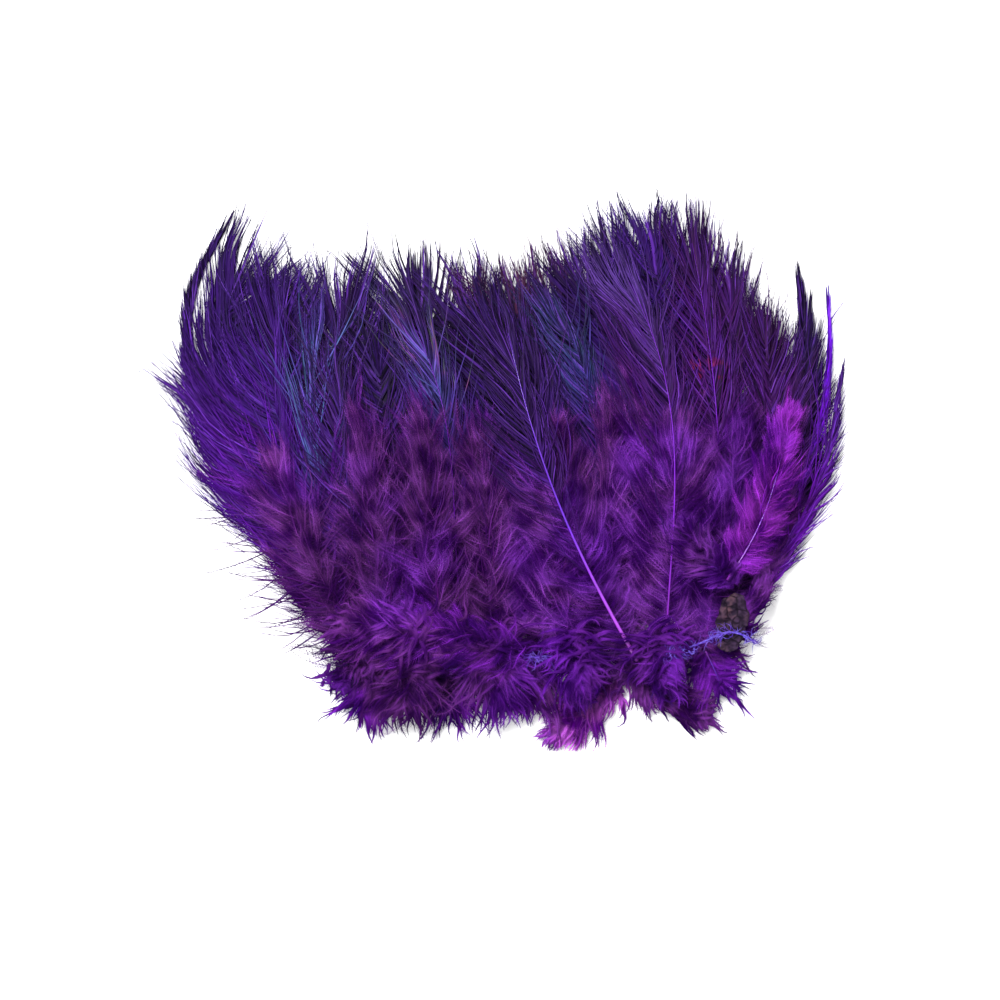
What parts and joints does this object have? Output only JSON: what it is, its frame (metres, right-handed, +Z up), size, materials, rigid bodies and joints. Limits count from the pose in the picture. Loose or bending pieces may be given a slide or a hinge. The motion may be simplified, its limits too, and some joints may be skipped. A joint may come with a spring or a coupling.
{
  "type": "strung pheasant rump hackle",
  "caption": "Sewn bundle of dyed pheasant rump hackle feathers, fanned and lying flat, with loose spiky vanes above and soft down along the stitched row.",
  "frame": {"origin": "under the middle of the bundle, on the surface that it lies on", "axes": "+Z up, +X along the sewn row towards the end with the skin scrap, +Y from the row towards the feather tips"},
  "size_m": [0.1683, 0.1411, 0.0157],
  "materials": {
    "ink_feather": "near-black violet barbs with a dull sheen",
    "blue_feather": "blue-violet barbs with a fine diagonal weave",
    "pale_blue_feather": "pale blue and teal barbs over violet",
    "violet_feather": "violet barbs, brighter towards the quill",
    "bright_feather": "bright violet barbs and down",
    "iridescent_feather": "blue-lavender vane with a pink and olive sheen",
    "teal_feather": "violet vane with a blue-green sheen",
    "dusk_feather": "dusky violet barbs",
    "brown_feather": "violet barbs with undyed brown tips",
    "plum_feather": "dark plum barbs, soft edged",
    "grape_feather": "grey-purple down with violet strands",
    "magenta_feather": "bright magenta-violet down",
    "mauve_feather": "dusty mauve down",
    "dried_skin": "dark, matt, cracked dried skin",
    "sewing_thread": "soft blue-violet cotton thread, frayed"
  },
  "bodies": {
    "root": {"left_dark_sickle": "ink_feather", "left_back_feather": "violet_feather", "left_fringe_feather": "blue_feather", "left_crossing_feather": "dusk_feather", "spike_feather": "dusk_feather", "middle_fringe_feather": "dusk_feather", "brown_fringe_feather": "brown_feather", "brown_tip_feather": "brown_feather", "beside_tall_feather": "dusk_feather", "tall_left_feather": "blue_feather", "tall_middle_feather": "violet_feather", "tall_right_feather": "plum_feather", "right_fringe_feather": "plum_feather", "right_shoulder_feather": "plum_feather", "right_back_feather": "plum_feather", "right_dark_sickle": "ink_feather", "right_violet_sickle": "bright_feather", "right_edge_feather": "magenta_feather", "left_wisp_feather": "bright_feather", "left_low_feather": "grape_feather", "left_wide_feather": "violet_feather", "left_pale_feather": "pale_blue_feather", "left_middle_feather": "dusk_feather", "dark_gap_feather": "ink_feather", "iridescent_feather": "iridescent_feather", "dark_middle_feather": "ink_feather", "teal_feather": "teal_feather", "dusky_middle_feather": "dusk_feather", "right_middle_feather": "blue_feather", "plum_shoulder_feather": "plum_feather", "plum_quill_feather": "plum_feather", "left_down_feather": "grape_feather", "second_down_feather": "grape_feather", "third_down_feather": "grape_feather", "middle_down_feather": "grape_feather", "fifth_down_feather": "grape_feather", "sixth_down_feather": "grape_feather", "seventh_down_feather": "grape_feather", "right_down_feather": "grape_feather", "tall_quill_feather": "violet_feather", "front_quill_feather": "violet_feather", "left_corner_tuft": "ink_feather", "left_bottom_tuft": "bright_feather", "second_bottom_tuft": "grape_feather", "third_bottom_tuft": "bright_feather", "fourth_bottom_tuft": "magenta_feather", "fifth_bottom_tuft": "grape_feather", "sixth_bottom_tuft": "violet_feather", "mauve_bottom_feather": "mauve_feather", "right_bottom_feather": "grape_feather", "seventh_bottom_tuft": "violet_feather", "frayed_right_tuft": "bright_feather", "right_side_tuft": "ink_feather", "lower_plume": "grape_feather", "side_plume": "bright_feather", "scrap_fan_feather": "grape_feather", "magenta_plume": "magenta_feather", "dried_skin_scrap": "dried_skin", "sewing_thread": "sewing_thread"}
  },
  "joints": []
}
